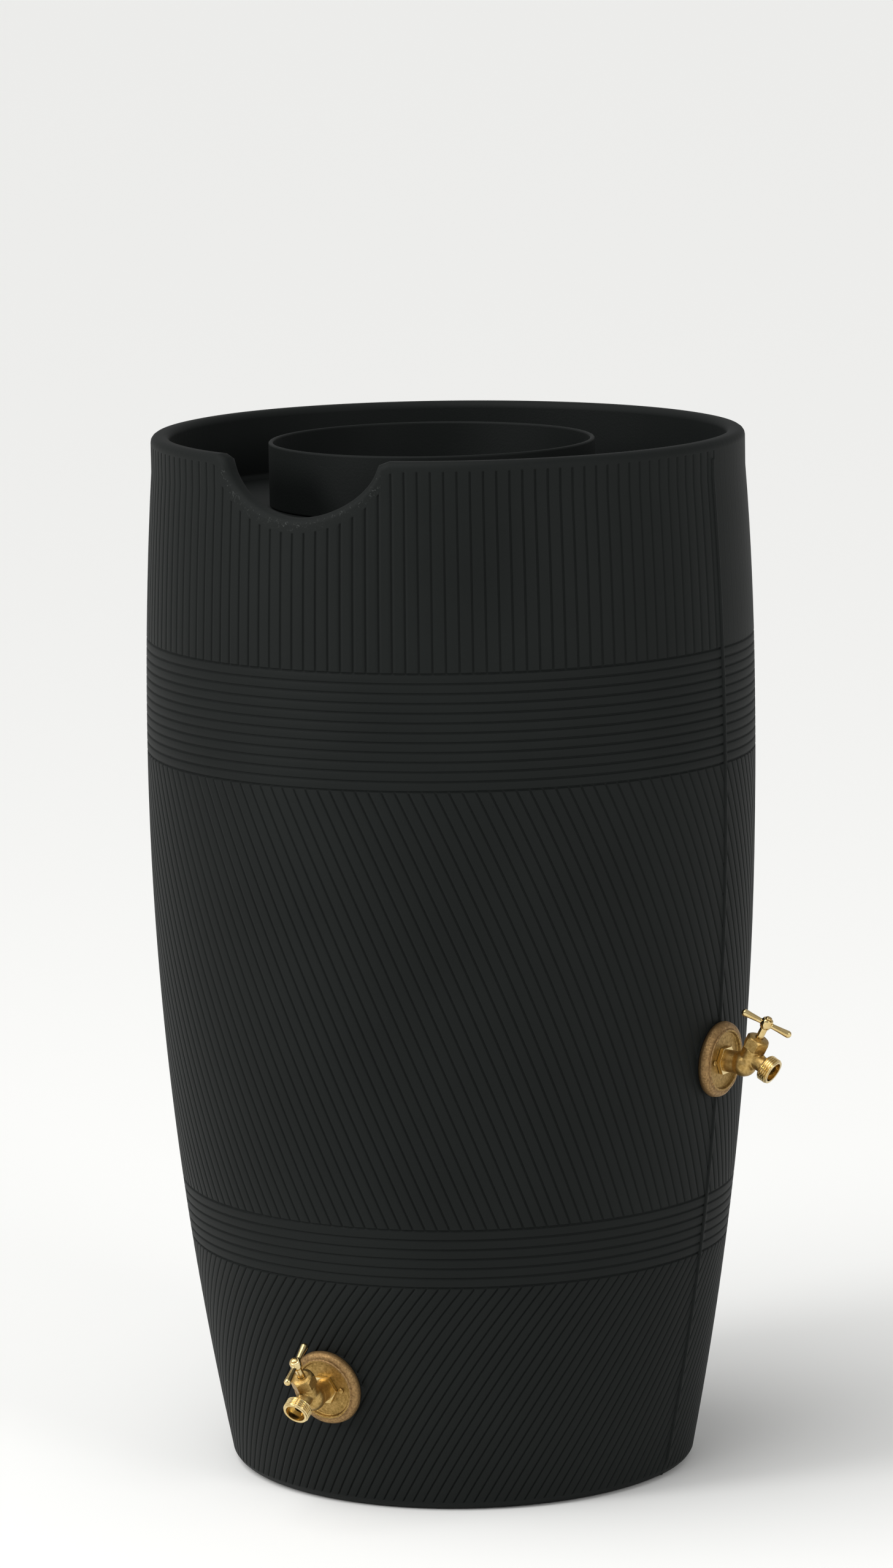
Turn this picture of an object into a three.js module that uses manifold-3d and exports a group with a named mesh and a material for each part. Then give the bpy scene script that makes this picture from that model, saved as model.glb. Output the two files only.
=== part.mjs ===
// Rain barrel: a rotomoulded tank with a lift-out planter bowl in its top, a screened
// downspout inlet behind the bowl, an overflow notch in the front of the rim, and two
// brass hose taps. Millimetres, +Z up. The origin is on the barrel's axis at the floor,
// and the front faces -Y.

import * as THREE from 'three';
import { mergeVertices } from 'three/addons/utils/BufferGeometryUtils.js';
import Module from 'manifold-3d';

const wasm = await Module();
wasm.setup();

// Barrel
const height = 1035;
const bellyRadius = 305;
const bellyHeight = 710;
const lowerDraw = 0.000142; // radius lost per mm squared below the belly
const upperDraw = 0.000125; // and above it
const rimStraight = 1000; // the wall runs straight up from here
const backDepth = 0.885; // depth of the back half against the front half
const backDepthAtRim = 0.94;
const backBlend = [600, 1000]; // heights between which the two depths blend
const wall = 4.5;
const baseCorner = 15;
const rimWidth = 18.5;
const rimCorner = 9;
const deckHeight = 966;
const seamRadius = 2.2;
const seamRise = 1.8;
const seamTop = 1018;
const seamFoot = 3;
const seamAhead = 2.5; // ahead of the middle
const seamLean = 9.5; // and further ahead at the foot
const seamUpright = 400; // above this it runs straight up
const barrelSides = 40;
const barrelRows = 12;

// Overflow notch: (x / half) ^ power + (drop / depth) ^ power = 1
const notchHalf = 87;
const notchDepth = 56;
const notchPower = 1.8;
const notchSteps = 20;

// Planter bowl
const planterY = -35;
const planterRing = 160;
const planterNeck = 147;
const planterFoot = 132;
const planterTop = 1029;
const planterFloor = 806;
const planterHole = 150;
const drainRadius = 4.5;
const drainCircle = 80;

// Downspout inlet
const inletY = 187;
const inletHole = 50.5;
const strainerSleeve = 49.7;
const strainerBore = 46.5;
const strainerFlange = 57;
const strainerDrop = 30;
const strainerLip = 42;

// Taps, measured from the wall along the outward normal, and along the tilted stem
const taps = [
  { name: 'front', azimuth: -0.6, z: 125, handleTurn: 6 },
  { name: 'side', azimuth: 88.8, z: 430, handleTurn: 20 },
];
const stemTilt = 24; // degrees from the wall's own direction
const stemFoot = 33.3; // where the stem's axis crosses the shank's
const shankRadius = 10.5;
const shankHole = 11.2;
const shankEnd = -24;
const padRadius = 36;
const padDepth = 7.5;
const flangeRadius = 38;
const flangeFace = 8.3;
const flangeScrewX = 18.5;
const screwRadius = 1.6;
const shoulderFlats = 26;
const outletOnStem = 9.8; // height of the outlet's axis up the stem
const outletLength = 29.5;
const hoseThread = 13.4; // radius over the 3/4 inch garden hose thread
const hoseThreadLength = 12;
const seatHeight = 7.8;
const barrelTop = 25;
const nutFlats = 21.5;
const hubHeight = 48.5;
const handleSpan = 53.4;

const gap = 0.3; // between pieces that touch
const sides = 16; // on small round pieces
const degree = Math.PI / 180;

const black = [0x26, 0x28, 0x27];
const brass = [0xc8, 0x9b, 0x4f];

// ---- solids

function toSolid(geometry) {
  const bare = geometry.clone();
  bare.deleteAttribute('normal');
  bare.deleteAttribute('uv');
  const merged = mergeVertices(bare, 1e-3);
  const index = merged.index.array;
  const triVerts = [];
  for (let i = 0; i < index.length; i += 3) {
    const [a, b, c] = index.slice(i, i + 3);
    if (a !== b && b !== c && c !== a) triVerts.push(a, b, c);
  }
  const mesh = new wasm.Mesh({
    numProp: 3,
    vertProperties: Float32Array.from(merged.attributes.position.array),
    triVerts: Uint32Array.from(triVerts),
  });
  return new wasm.Manifold(mesh);
}

function toGeometry(solid) {
  const mesh = solid.getMesh();
  const geometry = new THREE.BufferGeometry();
  geometry.setAttribute('position', new THREE.BufferAttribute(Float32Array.from(mesh.vertProperties), 3));
  geometry.setIndex(new THREE.BufferAttribute(Uint32Array.from(mesh.triVerts), 1));
  geometry.computeVertexNormals();
  return geometry;
}

// A closed profile of [radius, height] turned about +Y, counter-clockwise seen with
// the radius to the right.
function turned(profile, count = sides) {
  const points = profile.map(([r, y]) => new THREE.Vector2(r, y));
  return new THREE.LatheGeometry(points, count);
}

// The same about +Z.
function turnedUp(profile, count = sides) {
  return turned(profile, count).rotateX(90 * degree);
}

// A ring or disc about +Y between two radii and two heights.
function ring(inner, outer, low, high, count = sides) {
  if (inner === 0) return turned([[0, low], [outer, low], [outer, high], [0, high]], count);
  return turned([[inner, low], [outer, low], [outer, high], [inner, high], [inner, low]], count);
}

function ringUp(inner, outer, low, high, count = sides) {
  return ring(inner, outer, low, high, count).rotateX(90 * degree);
}

// Points of an arc, with angles in degrees from the radius's direction.
function arc(centre, radius, from, to, steps) {
  const points = [];
  for (let i = 0; i <= steps; i += 1) {
    const angle = (from + ((to - from) * i) / steps) * degree;
    points.push([centre[0] + radius * Math.cos(angle), centre[1] + radius * Math.sin(angle)]);
  }
  return points;
}

function colour([r, g, b], roughness, metalness) {
  const material = new THREE.MeshStandardMaterial({ roughness, metalness });
  material.color.setRGB(r / 255, g / 255, b / 255, THREE.SRGBColorSpace);
  return material;
}

const plastic = () => colour(black, 0.62, 0);
const castBrass = () => colour(brass, 0.34, 1);
const rubber = () => colour([0x1c, 0x1c, 0x1c], 0.85, 0);
const steel = () => colour([0xb4, 0xb6, 0xb8], 0.35, 1);

function piece(name, geometry, material) {
  const mesh = new THREE.Mesh(geometry, material);
  mesh.name = name;
  return mesh;
}

// ---- the barrel's outline

function wallRadius(z) {
  const above = Math.min(z, rimStraight) - bellyHeight;
  return bellyRadius - (above < 0 ? lowerDraw : upperDraw) * above * above;
}

// The outline with the rounded corner at its foot.
function outlineRadius(z) {
  if (z >= baseCorner) return wallRadius(z);
  const drop = baseCorner - z;
  return wallRadius(baseCorner) - baseCorner + Math.sqrt(baseCorner ** 2 - drop ** 2);
}

function wallLean(z) {
  return Math.atan(2 * lowerDraw * (bellyHeight - z));
}

function depthAt(z) {
  const t = THREE.MathUtils.smoothstep(z, backBlend[0], backBlend[1]);
  return backDepth + (backDepthAtRim - backDepth) * t;
}

// The back half is shallower than a circle.
function flattenBack(geometry) {
  const position = geometry.attributes.position;
  for (let i = 0; i < position.count; i += 1) {
    const y = position.getY(i);
    if (y > 0) position.setY(i, y * depthAt(position.getZ(i)));
  }
  return geometry;
}

// The barrel's profile drawn in by an inset: the foot, the wall, over the rim, down to
// the deck and in to the axis.
function barrelProfile(inset) {
  const corner = baseCorner - inset;
  const foot = arc([wallRadius(baseCorner) - baseCorner, baseCorner], corner, -90, 0, 3);
  const rows = [];
  for (let i = 1; i <= barrelRows; i += 1) {
    const z = baseCorner + ((rimStraight - baseCorner) * i) / barrelRows;
    rows.push([wallRadius(z) - inset, z]);
  }
  const edge = rimCorner - inset;
  const rim = wallRadius(height);
  const outer = arc([rim - rimCorner, height - rimCorner], edge, 0, 90, 3);
  const inner = arc([rim - rimWidth + rimCorner, height - rimCorner], edge, 90, 180, 3);
  const deck = [[rim - rimWidth + inset, deckHeight - inset], [0, deckHeight - inset]];
  return [[0, inset], ...foot, ...rows, ...outer, ...inner, ...deck];
}

// The scoop cut through the front of the rim, grown by a margin.
function notchCutter(margin) {
  const above = height + 10;
  const shape = new THREE.Shape();
  shape.moveTo(-notchHalf - margin, above);
  for (let i = 0; i <= notchSteps; i += 1) {
    const angle = (180 * degree * i) / notchSteps;
    const across = Math.abs(Math.cos(angle)) ** (2 / notchPower);
    const down = Math.abs(Math.sin(angle)) ** (2 / notchPower);
    const x = -Math.sign(Math.cos(angle)) * (notchHalf + margin) * across;
    shape.lineTo(x, height - (notchDepth + margin) * down);
  }
  shape.lineTo(notchHalf + margin, above);
  const inside = wallRadius(height) - 60;
  const cutter = new THREE.ExtrudeGeometry(shape, { depth: 100, bevelEnabled: false });
  return cutter.rotateX(90 * degree).translate(0, -inside, 0);
}

// The half-round bead where the mould's two halves met.
function seamBead(side) {
  const points = [];
  for (let i = 0; i <= barrelRows; i += 1) {
    const z = seamFoot + ((seamTop - seamFoot) * i) / barrelRows;
    const y = -seamAhead - seamLean * Math.max(1 - z / seamUpright, 0) ** 2;
    const x = Math.sqrt((outlineRadius(z) + seamRise - seamRadius) ** 2 - y * y);
    points.push(new THREE.Vector3(side * x, y, z));
  }
  const section = new THREE.Shape();
  section.absarc(0, 0, seamRadius, 0, 2 * Math.PI);
  return new THREE.ExtrudeGeometry(section, {
    steps: barrelRows,
    curveSegments: 4,
    extrudePath: new THREE.CatmullRomCurve3(points),
  });
}

// Where a tap's flange meets the wall: +Z outwards, +Y up the wall, +X to the right.
function tapFrame(tap) {
  const angle = (tap.azimuth - 90) * degree;
  const radial = new THREE.Vector3(Math.cos(angle), Math.sin(angle), 0);
  const lean = wallLean(tap.z);
  const up = new THREE.Vector3(0, 0, 1);
  const out = radial.clone().multiplyScalar(Math.cos(lean)).addScaledVector(up, -Math.sin(lean));
  const along = radial.clone().multiplyScalar(Math.sin(lean)).addScaledVector(up, Math.cos(lean));
  const right = along.clone().cross(out);
  const frame = new THREE.Matrix4().makeBasis(right, along, out);
  return frame.setPosition(radial.multiplyScalar(wallRadius(tap.z)).setZ(tap.z));
}

function tankShell() {
  const body = toSolid(flattenBack(turnedUp(barrelProfile(0), barrelSides)));
  const hollow = toSolid(flattenBack(turnedUp(barrelProfile(wall), barrelSides)));
  let shell = body.add(toSolid(seamBead(1))).add(toSolid(seamBead(-1)));
  shell = shell.subtract(toSolid(notchCutter(0)));
  shell = shell.subtract(hollow.subtract(toSolid(notchCutter(wall))));
  const bowlHole = ringUp(0, planterHole, deckHeight - 20, deckHeight + 20, 32);
  const spoutHole = ringUp(0, inletHole, deckHeight - 20, deckHeight + 20, 24);
  shell = shell.subtract(toSolid(bowlHole.translate(0, planterY, 0)));
  shell = shell.subtract(toSolid(spoutHole.translate(0, inletY, 0)));
  for (const tap of taps) {
    const frame = tapFrame(tap);
    const pad = ringUp(0, padRadius, -padDepth, 0, 24);
    const seat = ringUp(0, flangeRadius + 1, 0, 12, 24);
    const hole = ringUp(0, shankHole, -30, 10);
    shell = shell.add(toSolid(pad.applyMatrix4(frame)));
    shell = shell.subtract(toSolid(seat.applyMatrix4(frame)));
    shell = shell.subtract(toSolid(hole.applyMatrix4(frame)));
    for (const x of [-flangeScrewX, flangeScrewX]) {
      const pilot = ringUp(0, screwRadius + gap, -6, 1, 8).translate(x, 0, 0);
      shell = shell.subtract(toSolid(pilot.applyMatrix4(frame)));
    }
  }
  return piece('tank_shell', toGeometry(shell), plastic());
}

// ---- what lifts out of the deck

function planterBowl() {
  const seat = deckHeight + gap;
  const profile = [
    [0, planterFloor],
    ...arc([planterFoot - 10, planterFloor + 10], 10, -90, 0, 2),
    [planterNeck, seat],
    [planterRing, seat],
    [planterRing, planterTop - 3],
    [planterRing - wall / 2, planterTop],
    [planterRing - wall, planterTop - 3],
    [planterRing - wall, seat + wall],
    [planterNeck - wall, seat + wall],
    ...arc([planterFoot - 10, planterFloor + 10], 10 - wall, 0, -90, 2),
    [0, planterFloor + wall],
  ];
  let bowl = toSolid(turnedUp(profile, 32));
  const drains = [[0, 0]];
  for (let i = 0; i < 4; i += 1) {
    drains.push([drainCircle * Math.cos(i * 90 * degree), drainCircle * Math.sin(i * 90 * degree)]);
  }
  for (const [x, y] of drains) {
    const drain = ringUp(0, drainRadius, planterFloor - 5, planterFloor + wall + 5, 8);
    bowl = bowl.subtract(toSolid(drain.translate(x, y, 0)));
  }
  const mesh = piece('planter_bowl', toGeometry(bowl), plastic());
  mesh.position.y = planterY;
  return mesh;
}

function strainer() {
  const top = deckHeight + gap;
  const foot = top - strainerDrop;
  const barWidth = 4;
  const profile = [
    [strainerLip, foot],
    [strainerSleeve, foot],
    [strainerSleeve, top],
    [strainerFlange, top],
    [strainerFlange - 1, top + 3],
    [strainerBore, top + 3],
    [strainerBore, foot + 2.5],
    [strainerLip, foot + 2.5],
    [strainerLip, foot],
  ];
  let cup = toSolid(turnedUp(profile, 24));
  for (const turn of [0, 90]) {
    const bar = new THREE.BoxGeometry(2 * strainerLip + 4, barWidth, 2.5);
    bar.translate(0, 0, foot + 1.25).rotateZ(turn * degree);
    cup = cup.add(toSolid(bar));
  }
  const screenLow = foot + 2.5 + gap;
  const screen = ringUp(0, strainerBore - gap, screenLow, screenLow + 1, 24);
  const group = new THREE.Group();
  group.position.y = inletY;
  group.add(piece('strainer_ring', toGeometry(cup), plastic()));
  group.add(piece('strainer_mesh', toGeometry(toSolid(screen)), steel()));
  return group;
}

// ---- a tap, built in its own frame: the wall is the plane z = 0

function hexPrism(flats, low, high, corner = 90) {
  const shape = new THREE.Shape();
  const reach = flats / 2 / Math.cos(30 * degree);
  const points = arc([0, 0], reach, corner, corner + 300, 5);
  shape.setFromPoints(points.map(([x, y]) => new THREE.Vector2(x, y)));
  const prism = new THREE.ExtrudeGeometry(shape, { depth: high - low, bevelEnabled: false });
  return prism.translate(0, 0, low);
}

function wallFlange() {
  const profile = [
    [shankHole, gap],
    [flangeRadius - 3, gap],
    [flangeRadius - 0.7, 2],
    [flangeRadius, 5],
    [flangeRadius - 1, 8],
    [flangeRadius - 3.5, 10],
    [31.2, 10.6],
    [30.5, 11.6],
    [28.5, 11.6],
    [27.5, flangeFace],
    [shankHole, flangeFace],
    [shankHole, gap],
  ];
  let disc = toSolid(turnedUp(profile, 24));
  for (const x of [-flangeScrewX, flangeScrewX]) {
    disc = disc.subtract(toSolid(ringUp(0, screwRadius + gap, -1, 12, 8).translate(x, 0, 0)));
  }
  return disc;
}

function flangeScrew(x) {
  const head = flangeFace + gap;
  const profile = [
    [0, -5],
    [screwRadius, -4],
    [screwRadius, head],
    [2.9, head],
    [2.6, head + 1.2],
    [0, head + 2],
  ];
  return turnedUp(profile, 10).translate(x, 0, 0);
}

// Turns a solid built along +Y to lie along the tilted stem.
function ontoStem(geometry) {
  return geometry.rotateX(stemTilt * degree).translate(0, 0, stemFoot);
}

// Turns a solid built along +Y to lie along the outlet, square to the stem.
function ontoOutlet(geometry) {
  return ontoStem(geometry.rotateX(90 * degree).translate(0, outletOnStem, 0));
}

function valveBody() {
  const elbow = 13;
  const barrel = 10.3;
  const pipe = 8;
  const threadStart = outletLength - hoseThreadLength;
  const outside = [
    ringUp(0, shankRadius, shankEnd, flangeFace + 1),
    hexPrism(shoulderFlats, flangeFace + gap, flangeFace + 4.5),
    ringUp(0, 11, flangeFace + 4, stemFoot),
    new THREE.SphereGeometry(elbow, sides, 10).translate(0, 0.5, stemFoot - 2),
    ontoStem(ring(0, barrel, 0, 18.5)),
    ontoStem(ring(0, 9.5, 18, barrelTop)),
    ontoOutlet(ring(0, pipe, 4, threadStart + 1)),
    ontoOutlet(ring(0, hoseThread, threadStart, outletLength, 20)),
  ];
  const waterway = [
    ringUp(0, 5, shankEnd - 1, stemFoot, 12),
    ontoStem(ring(0, 3.8, 0, seatHeight + 1, 12)),
    ontoStem(ring(0, 7.2, seatHeight, 17)),
    ontoStem(ring(0, 6.6, 16.5, barrelTop + 1, 12)),
    ontoOutlet(ring(0, 5, 5.5, outletLength, 12).translate(0, 0, -1.7)),
    ontoOutlet(ring(0, 10, outletLength - 8, outletLength + 1)),
  ];
  const casting = outside.map(toSolid).reduce((whole, next) => whole.add(next));
  return waterway.map(toSolid).reduce((whole, next) => whole.subtract(next), casting);
}

function lockNut() {
  const nut = toSolid(hexPrism(32, shankEnd + 5.5, -padDepth - 3.6));
  return nut.subtract(toSolid(ringUp(0, shankRadius + gap, -30, 0)));
}

function packingNut() {
  const top = 32;
  const dome = turned([
    [0, 18],
    [14, 18],
    [13, 28],
    [10, 30.5],
    [6, top],
    [0, top],
  ], 24);
  const hex = toSolid(hexPrism(nutFlats, 19, top, 0).rotateX(-90 * degree));
  const inside = toSolid(ring(0, 9.8, 18, 28.1));
  const bore = toSolid(ring(0, 4.1, 18, top + 1, 12));
  return hex.intersect(toSolid(dome)).subtract(inside).subtract(bore);
}

function stem() {
  const collar = 6.2;
  const shaft = 3.75;
  const profile = [
    [0, 11.9],
    [5.2, 11.9],
    [5.2, 17],
    [collar, 17],
    [collar, 21],
    [shaft, 21],
    [shaft, hubHeight - 5.3],
    [2.8, hubHeight - 5.3],
    [2.8, hubHeight + 1.5],
    [0, hubHeight + 1.5],
  ];
  const spindle = toSolid(turned(profile, 12));
  const lowHole = toSolid(ring(0, screwRadius + gap, 10, 18.5, 8));
  const highHole = toSolid(ring(0, screwRadius + gap, hubHeight - 4, hubHeight + 3, 8));
  return spindle.subtract(lowHole).subtract(highHole);
}

function screwAlongStem(profile) {
  return toSolid(turned(profile, 10));
}

function teeHandle() {
  const hub = turned([
    [0, hubHeight - 5],
    [4.6, hubHeight - 5],
    [5.6, hubHeight - 2],
    [5.6, hubHeight + 3],
    [4.6, hubHeight + 5],
    [0, hubHeight + 5],
  ]);
  const tip = 3.5;
  const reach = handleSpan / 2;
  const arm = [
    [0, 0],
    [2.4, 0],
    [2.4, 7],
    ...arc([0, reach - tip], tip, 0, 90, 3),
  ];
  let handle = toSolid(hub);
  for (const turn of [90, -90]) {
    const bar = turned(arm, 12).rotateX(turn * degree).translate(0, hubHeight, 0);
    handle = handle.add(toSolid(bar));
  }
  handle = handle.subtract(toSolid(ring(0, 3.1, hubHeight - 6, hubHeight + 1.8, 12)));
  return handle.subtract(toSolid(ring(0, screwRadius + gap, hubHeight, hubHeight + 6, 8)));
}

function tapGroup(tap) {
  const group = new THREE.Group();
  group.applyMatrix4(tapFrame(tap));
  const named = (name) => `${tap.name}_${name}`;
  const gasket = toSolid(ringUp(11, 18, -padDepth - gap - 3, -padDepth - gap));
  group.add(piece(named('wall_flange'), toGeometry(wallFlange()), castBrass()));
  group.add(piece(named('flange_screw_left'), toGeometry(toSolid(flangeScrew(-flangeScrewX))), castBrass()));
  group.add(piece(named('flange_screw_right'), toGeometry(toSolid(flangeScrew(flangeScrewX))), castBrass()));
  group.add(piece(named('valve_body'), toGeometry(valveBody()), castBrass()));
  group.add(piece(named('wall_gasket'), toGeometry(gasket), rubber()));
  group.add(piece(named('lock_nut'), toGeometry(lockNut()), castBrass()));

  // Everything on the stem turns about its own +Y.
  const stemGroup = new THREE.Group();
  stemGroup.position.z = stemFoot;
  stemGroup.rotation.x = stemTilt * degree;
  group.add(stemGroup);
  const packing = toSolid(ring(4.05, 9.2, barrelTop + gap, 27.8));
  const washer = toSolid(ring(1.9, 6, seatHeight + gap, seatHeight + 3.8));
  const washerScrew = screwAlongStem([
    [0, seatHeight - 1.6],
    [2.6, seatHeight - 1.2],
    [2.6, seatHeight],
    [screwRadius, seatHeight],
    [screwRadius, 18],
    [0, 18],
  ]);
  const handleScrew = screwAlongStem([
    [0, hubHeight - 3],
    [screwRadius, hubHeight - 3],
    [screwRadius, hubHeight + 5.3],
    [3.3, hubHeight + 5.3],
    [3, hubHeight + 6.8],
    [0, hubHeight + 7.5],
  ]);
  stemGroup.add(piece(named('packing_nut'), toGeometry(packingNut()), castBrass()));
  stemGroup.add(piece(named('packing_washer'), toGeometry(packing), rubber()));
  stemGroup.add(piece(named('seat_washer'), toGeometry(washer), rubber()));
  stemGroup.add(piece(named('washer_screw'), toGeometry(washerScrew), castBrass()));
  stemGroup.add(piece(named('stem'), toGeometry(stem()), castBrass()));
  const handle = piece(named('tee_handle'), toGeometry(teeHandle()), castBrass());
  handle.rotation.y = tap.handleTurn * degree;
  stemGroup.add(handle);
  stemGroup.add(piece(named('handle_screw'), toGeometry(handleScrew), castBrass()));
  return group;
}

const rainBarrel = new THREE.Group();
rainBarrel.add(tankShell(), planterBowl(), strainer());
for (const tap of taps) rainBarrel.add(tapGroup(tap));

export default rainBarrel;
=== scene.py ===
import math

import bmesh
import bpy
from mathutils import Matrix, Vector, noise


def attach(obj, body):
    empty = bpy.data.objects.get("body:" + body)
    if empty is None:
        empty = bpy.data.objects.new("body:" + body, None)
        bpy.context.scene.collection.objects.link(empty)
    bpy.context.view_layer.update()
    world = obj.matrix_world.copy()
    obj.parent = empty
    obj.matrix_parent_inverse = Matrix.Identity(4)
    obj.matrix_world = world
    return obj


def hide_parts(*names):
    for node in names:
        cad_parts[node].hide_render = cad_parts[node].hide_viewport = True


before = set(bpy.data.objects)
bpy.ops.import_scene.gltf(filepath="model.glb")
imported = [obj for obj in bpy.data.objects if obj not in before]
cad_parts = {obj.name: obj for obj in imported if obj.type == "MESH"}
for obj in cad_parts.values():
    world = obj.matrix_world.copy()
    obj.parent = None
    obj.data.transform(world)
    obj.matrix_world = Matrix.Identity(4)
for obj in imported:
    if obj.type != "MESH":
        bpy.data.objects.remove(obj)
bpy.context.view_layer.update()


# ---- Camera
# A long lens at the height of a standing person's eye, in front of the barrel and to
# its right, looking slightly down on the rim.

lens_mm = 139.1
sensor_mm = 36
camera_place = Vector((3.018, -5.124, 1.669))
camera_bearing = math.radians(30.5)
camera_yaw = math.radians(-0.083)
camera_pitch = math.radians(9.44)
camera_roll = math.radians(-0.97)

ahead = Vector((
    math.sin(camera_yaw) * math.cos(camera_pitch),
    math.cos(camera_yaw) * math.cos(camera_pitch),
    -math.sin(camera_pitch),
))
ahead.rotate(Matrix.Rotation(camera_bearing, 3, "Z"))
level = ahead.cross(Vector((0, 0, 1))).normalized()
upright = level.cross(ahead)
side = math.cos(camera_roll) * level + math.sin(camera_roll) * upright
top = math.cos(camera_roll) * upright - math.sin(camera_roll) * level

camera = bpy.data.objects.new("camera", bpy.data.cameras.new("camera"))
camera.data.lens = lens_mm
camera.data.sensor_width = sensor_mm
camera.data.clip_end = 100
camera.matrix_world = Matrix.Translation(camera_place) @ Matrix((side, top, -ahead)).transposed().to_4x4()
bpy.context.scene.collection.objects.link(camera)
bpy.context.scene.camera = camera


# ---- Tank shell
# One hollow moulding in black polyethylene: an oval-backed barrel with a rolled rim, a
# sunken deck with two holes, and an overflow notch cut through the front of the rim.
# The two halves of the mould leave a parting line up each side. Sizes in millimetres.

height = 1035
belly_radius = 305
belly_height = 710
lower_draw = 0.000142
upper_draw = 0.000125
rim_straight = 1000
back_depth = 0.885
back_depth_at_rim = 0.94
back_blend = (600, 1000)
wall = 4.5
base_corner = 15
rim_width = 18.5
rim_rounding = 7
deck_height = 966
notch_half = 87
notch_depth = 56
notch_power = 1.8
notch_corner = 14
planter_y = -35
planter_hole = 150
inlet_y = 187
inlet_hole = 50.5
hole_rounding = 3

reeds_round = 148
pitch = 360 / reeds_round
groove_depth = 1.7
groove_section = ((-1.5, 0), (-0.8, 0.6), (0, 1), (0.8, 0.6), (1.5, 0))
ridge_end = ((0, 1), (0.4, 0.9), (0.9, 0.55), (1.7, 0))
margin = 13
level_margin = 8.5
upper_band = (723, 835, 13)
lower_band = (233, 291, 7)
groove_foot = 8
faint_reeds = 0.08
faint_lower = 0.45


def wall_radius(z):
    above = min(z, rim_straight) - belly_height
    draw = lower_draw if above < 0 else upper_draw
    return belly_radius - draw * above * above


def outline_radius(z):
    if z >= base_corner:
        return wall_radius(z)
    drop = base_corner - z
    return wall_radius(base_corner) - base_corner + math.sqrt(base_corner**2 - drop**2)


def smoothstep(value, low, high):
    t = min(max((value - low) / (high - low), 0), 1)
    return t * t * (3 - 2 * t)


def round_the_barrel(azimuth, z, radius):
    """A point from its direction in degrees, 0 at the front and 90 at the side tap."""
    x = radius * math.sin(math.radians(azimuth))
    y = -radius * math.cos(math.radians(azimuth))
    if y > 0:
        y *= back_depth + (back_depth_at_rim - back_depth) * smoothstep(z, *back_blend)
    return Vector((x, y, z))


def sheet(bm, columns, rows, place):
    """A grid of faces with each corner put in its place by column and row."""
    grid = bmesh.ops.create_grid(bm, x_segments=columns, y_segments=rows, size=1)
    for vert in grid["verts"]:
        column = round((vert.co.x + 1) / 2 * columns)
        row = round((vert.co.y + 1) / 2 * rows)
        vert.co = place(column, row)


# The rim's front edge laid flat: millimetres along the rim and height, and the
# direction into the wall. It runs level, round a corner and through the notch.
def half_rim_edge():
    points = []
    corner_x = notch_half * (1 - (notch_corner / notch_depth) ** notch_power) ** (1 / notch_power)
    steps = 160
    corner_steps = 20
    level_run = 40
    for k in range(steps):
        x = corner_x * math.sin(math.pi / 2 * k / steps)
        drop = notch_depth * (1 - (x / notch_half) ** notch_power) ** (1 / notch_power)
        points.append(Vector((x, height - drop)))
    for k in range(corner_steps + 1):
        angle = math.pi / 2 * k / corner_steps
        x = corner_x + notch_corner * (1 - math.cos(angle))
        points.append(Vector((x, height - notch_corner * (1 - math.sin(angle)))))
    for k in range(1, level_run + 1):
        points.append(Vector((corner_x + notch_corner + k, height)))
    return points


def rim_edge():
    right = half_rim_edge()
    points = [Vector((-p.x, p.y)) for p in reversed(right[1:])] + right
    reach = 5
    edge = []
    for k in range(reach, len(points) - reach):
        along = (points[k + reach] - points[k - reach]).normalized()
        edge.append((points[k], Vector((along.y, -along.x))))
    return edge


def rim_foot(x, edge):
    """Where the edge passes the upright line at x, measured a margin inside the wall."""
    for (low, low_in), (high, high_in) in zip(edge, edge[1:]):
        start = low + low_in * margin
        end = high + high_in * margin
        if start.x <= x < end.x:
            t = (x - start.x) / (end.x - start.x)
            return low.lerp(high, t), low_in.lerp(high_in, t).normalized()
    return Vector((x, height)), Vector((0, -1))


def band_width(foot):
    """The smooth band between the grooves and the edge, narrower away from the notch."""
    blend = 20
    level = smoothstep(abs(foot.x), notch_half, notch_half + blend)
    return margin + (level_margin - margin) * level


# Each groove has five columns of vertices, and a ridge by the notch has five more.
def shell_columns(edge):
    past_mm = 360 / (2 * math.pi * belly_radius)
    first_cut_ridge = 3
    last_cut_ridge = 9
    columns = []
    for reed in range(reeds_round):
        for offset, share in groove_section:
            columns.append((reed, offset * past_mm, share, reed))
        from_front = min(reed, reeds_round - 1 - reed)
        if first_cut_ridge <= from_front <= last_cut_ridge:
            for past in (0.3, 0.4, 0.5, 0.6, 0.7):
                columns.append((reed, past * pitch, 0, reed + round(past)))
    columns.append((reeds_round, groove_section[0][0] * past_mm, 0, reeds_round))
    feet = []
    for reed, past, _, _ in columns:
        azimuth = reed * pitch + past
        around = azimuth if azimuth < 180 else azimuth - 360
        x = math.radians(around) * wall_radius(height)
        feet.append(rim_foot(x, edge))
    return columns, feet


def upper_twist(z):
    """Degrees that the long slanted grooves have gone round by this height."""
    reeds_passed = 14.5
    steepest_at = 450
    steady_slant = 78.5
    slant_growth = 160e-6
    whole = reeds_passed * pitch

    def run(a, b):
        growth = (b - steepest_at) ** 3 - (a - steepest_at) ** 3
        return steady_slant * (b - a) + slant_growth / 3 * growth

    return whole * run(z, upper_band[0]) / run(lower_band[1], upper_band[0])


def lower_twist(z):
    """And the short ones under the lower band, which slant the other way."""
    degrees_per_metre = 136
    extra_near_the_band = 33
    z = max(z, groove_foot) / 1000
    start = lower_band[0] / 1000
    extra = extra_near_the_band / (4 * start**3) * (start**4 - z**4)
    return 0.5 * pitch - degrees_per_metre * (start - z) - extra


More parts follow.
